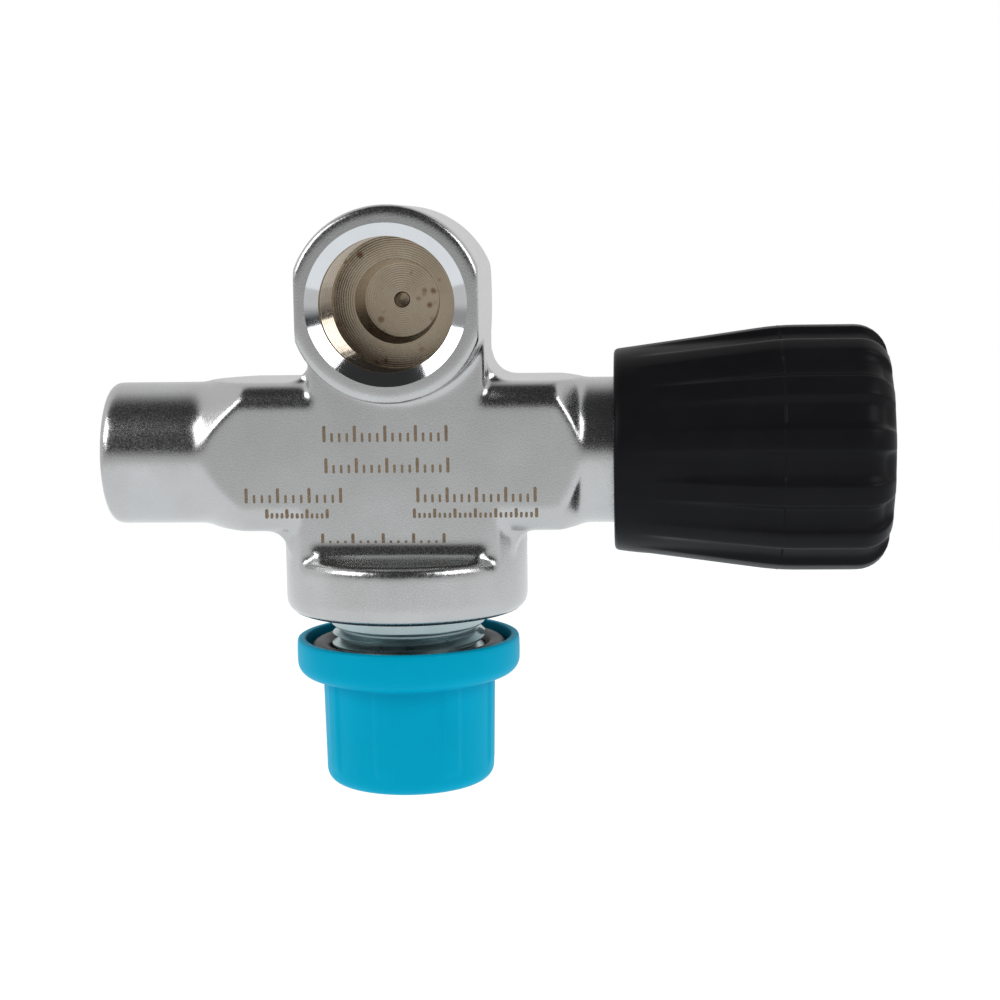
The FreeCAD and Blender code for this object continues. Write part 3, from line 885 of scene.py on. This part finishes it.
def cap_stations():
    """The cap's outline, from the middle of its cup up over the rim and down to its foot."""
    stations = [
        (cap_floor, 0),
        (cap_floor, 6),
        (cap_floor, cap_bore_radius - 0.5),
        (cap_floor + 0.15, cap_bore_radius - 0.15),
        (cap_floor + 0.5, cap_bore_radius),
        (cap_counterbore - 0.4, cap_bore_radius),
        (cap_counterbore, cap_bore_radius + 0.4),
        (cap_counterbore, cap_rim_bore - 0.6),
        (cap_counterbore + 0.18, cap_rim_bore - 0.18),
        (cap_counterbore + 0.6, cap_rim_bore),
        (cap_top - 0.35, cap_rim_bore),
        (cap_top - 0.1, cap_rim_bore + 0.1),
        (cap_top, cap_rim_bore + 0.35),
        (cap_top, cap_rim_radius - 0.5),
        (cap_top - 0.15, cap_rim_radius - 0.15),
        (cap_top - 0.5, cap_rim_radius),
    ]
    stations += rounded_corner((cap_rim_foot, cap_rim_radius), cap_rim_rounding, 6)
    stations += [
        (cap_rim_foot, cap_body_radius + 0.7),
        (cap_rim_foot - 0.15, cap_body_radius + 0.2),
        (cap_rim_foot - 0.6, cap_body_radius),
    ]
    wall_top = cap_rim_foot - 1.2
    wall_bottom = cap_bottom + cap_foot_rounding + 0.4
    steps = 14
    for step in range(steps + 1):
        share = step / steps
        stations.append((
            wall_top + (wall_bottom - wall_top) * share,
            cap_body_radius + (cap_foot_radius - cap_body_radius) * share,
        ))
    stations += rounded_corner((cap_bottom, cap_foot_radius), cap_foot_rounding, 6)
    stations += [
        (cap_bottom, 8),
        (cap_bottom, 1.7),
        (cap_bottom + 0.3, 1.3),
        (cap_bottom + 0.3, 0),
    ]
    return stations


def pad_weight(spot):
    """1 on a grip pad and 0 between the pads."""
    place = spot / millimetre
    radius = math.hypot(place.x, place.y)
    turn = math.atan2(place.y, place.x) / (2 * math.pi)
    column = (round(turn * pad_count * pad_columns) - pad_turn) % pad_columns
    offset = min(column, pad_columns - column)
    section = pad_section[offset] if offset < len(pad_section) else 0.0
    on_wall = radius > cap_foot_radius - 0.2 and pad_bottom < place.z < cap_rim_foot - 0.1
    return section if on_wall else 0.0


cap = turned("neck_cap", cap_stations(), neck_centre, up, pad_count * pad_columns)
raised_or_sunk(cap, pad_weight, pad_height)
modified(cap, "SUBSURF", levels=1, render_levels=1)
cap_groove = thread_tool(
    "cap_groove",
    thread_section(
        cap_floor + 0.6, flank=0.6, root=0.2,
        crest_radius=cap_bore_radius - 0.15, root_radius=cap_bore_radius + 0.5,
    ),
    neck_pitch, cap_thread_turns, neck_centre, "Z",
)
cap_plastic = speckled_polymer(
    "moulded_polyethylene", "#00A0C4", "#00A9CD", 0.4, 0.9 * millimetre, 0.01 * millimetre, 1.5, 0.03
)
cap.data.materials.append(cap_plastic)
cap_groove.data.materials.append(cap_plastic)
cut(cap, cap_groove)
select_only(cap)
bpy.ops.object.shade_smooth_by_angle(angle=cap_crisp_edge)
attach(cap, "cap")
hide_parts("thread_cap")

# ---- studio --------------------------------------------------------------------------
# A white, softly glowing table, low enough for the cap to be unscrewed above it, one
# softbox on each side in front, a dark room in front and white walls behind.
floor_radius = 0.46
cap_travel = 30.0
floor_height = cap_bottom - cap_travel - 1.0
bpy.ops.object.select_all(action="DESELECT")
bpy.ops.mesh.primitive_circle_add(
    vertices=96, radius=floor_radius, fill_type="NGON", location=(0, 0, floor_height * millimetre)
)
floor = bpy.context.object
floor.name = "studio_floor"
floor_paint, _, floor_shader = new_material("white_table", Roughness=0.9)
floor_shader.inputs["Base Color"].default_value = linear("#6E6E6E")
floor_shader.inputs["Specular IOR Level"].default_value = 0.0
floor_shader.inputs["Emission Color"].default_value = linear("#FAFDFF")
floor_shader.inputs["Emission Strength"].default_value = 1.0
floor.data.materials.append(floor_paint)

softboxes = {
    "left_softbox": (-0.46, -0.31, 0.34),
    "right_softbox": (0.46, -0.31, 0.34),
}
softbox_width = 0.34
softbox_power = 1.5
for name, place in softboxes.items():
    bpy.ops.object.light_add(type="AREA", location=place)
    softbox = bpy.context.object
    softbox.name = name
    softbox.data.size = softbox_width
    softbox.data.energy = softbox_power
    softbox.visible_camera = False
    softbox.rotation_euler = (branch_centre - Vector(place)).to_track_quat("-Z", "Y").to_euler()

room = bpy.data.worlds.new("studio_room")
bpy.context.scene.world = room
room.use_nodes = True
room_tree = room.node_tree
room_light = room_tree.nodes["Background"]
direction = add_node(room_tree, "ShaderNodeTexCoord")
parts = add_node(room_tree, "ShaderNodeSeparateXYZ", {"Vector": direction.outputs["Generated"]})
sideways = add_node(
    room_tree, "ShaderNodeMath", {0: parts.outputs["X"]}, operation="ABSOLUTE",
)
around_back = add_node(
    room_tree, "ShaderNodeMath", {0: sideways.outputs["Value"], 1: parts.outputs["Y"]}, operation="ADD",
)
walls = add_node(
    room_tree, "ShaderNodeMapRange",
    {"Value": around_back.outputs["Value"],
     "From Min": 0.2, "From Max": 0.85, "To Min": 0.04, "To Max": 0.85},
    interpolation_type="SMOOTHSTEP",
)
horizon = add_node(
    room_tree, "ShaderNodeMapRange",
    {"Value": parts.outputs["Z"], "From Min": -0.06, "From Max": 0.16, "To Min": 0.75, "To Max": 0.0},
    interpolation_type="SMOOTHSTEP",
)
brighter = add_node(
    room_tree, "ShaderNodeMath",
    {0: walls.outputs["Result"], 1: horizon.outputs["Result"]}, operation="MAXIMUM",
)
ray = add_node(room_tree, "ShaderNodeLightPath")
seen = add_node(
    room_tree, "ShaderNodeMath",
    {0: brighter.outputs["Value"], 1: ray.outputs["Is Camera Ray"]}, operation="MAXIMUM",
)
room_tree.links.new(seen.outputs["Value"], room_light.inputs["Strength"])
room_light.inputs["Color"].default_value = (1.0, 1.0, 1.0, 1.0)
bpy.context.scene.view_settings.view_transform = "Standard"
